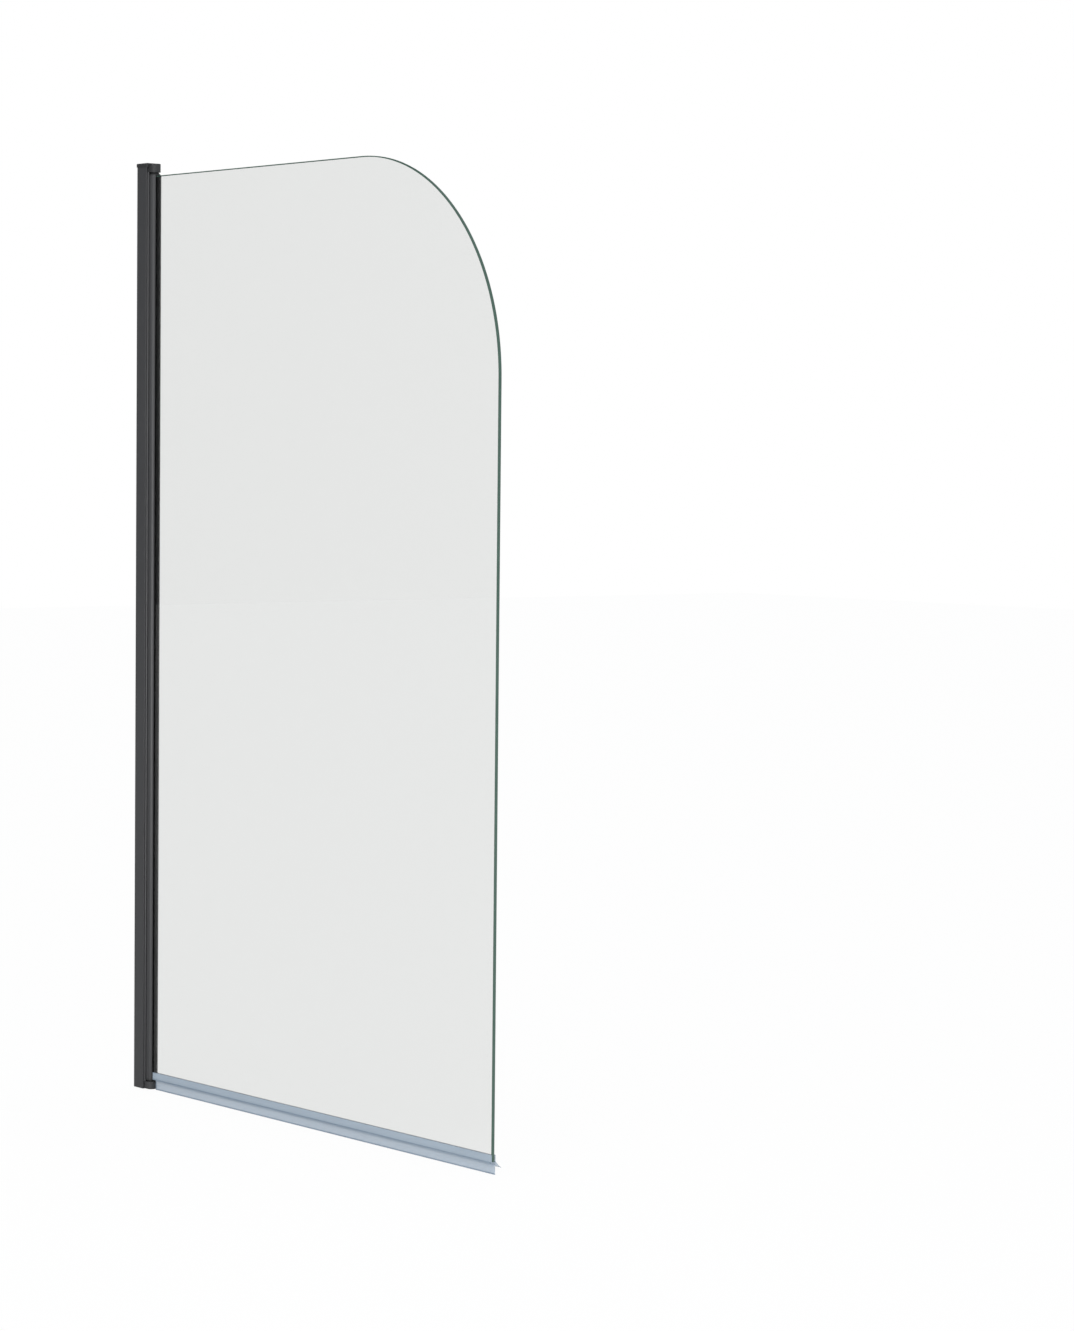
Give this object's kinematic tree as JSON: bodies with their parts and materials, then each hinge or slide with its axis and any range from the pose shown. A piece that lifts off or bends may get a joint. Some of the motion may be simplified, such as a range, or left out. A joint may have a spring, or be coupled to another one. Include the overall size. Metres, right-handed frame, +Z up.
{
  "type": "bath screen",
  "caption": "Bath screen: a glass panel with one large round upper corner, swinging on a pivot post carried by a slim wall channel, with a clear seal strip under the glass.",
  "frame": {"origin": "middle of the wall channel's back face at its lower end, which stands on the bath's rim", "axes": "+Z up along the wall, +X out from the wall along the glass, +Y towards the bath, -Y towards the room"},
  "size_m": [0.803, 0.0242, 1.3009],
  "materials": {
    "coated_profile": "matt black powder coat",
    "black_moulding": "fine-textured black",
    "cover_moulding": "satin black",
    "bush_plastic": "smooth black acetal",
    "pin_steel": "turned",
    "screw_steel": "plain",
    "gasket_rubber": "matt black",
    "clear_glass": "clear, polished edge",
    "strip_vinyl": "translucent"
  },
  "bodies": {
    "frame": {"wall_channel": "coated_profile", "slide_profile": "coated_profile", "side_screws": "screw_steel", "screw_covers": "cover_moulding", "top_cap": "black_moulding", "bottom_block": "black_moulding", "end_screws": "screw_steel", "top_bush": "bush_plastic", "bottom_bush": "bush_plastic", "thrust_washer": "bush_plastic"},
    "panel": {"pivot_post": "coated_profile", "top_post_end": "black_moulding", "bottom_post_end": "black_moulding", "top_pivot_pin": "pin_steel", "bottom_pivot_pin": "pin_steel", "glass_gasket": "gasket_rubber", "glass_pane": "clear_glass", "bottom_strip": "strip_vinyl"}
  },
  "joints": [
    {"name": "panel_swing", "type": "hinge", "parent": "frame", "child": "panel", "pos_m": [0.0296, 0, 0], "axis": [0, 0, 1], "range_deg": [-90, 90]}
  ]
}
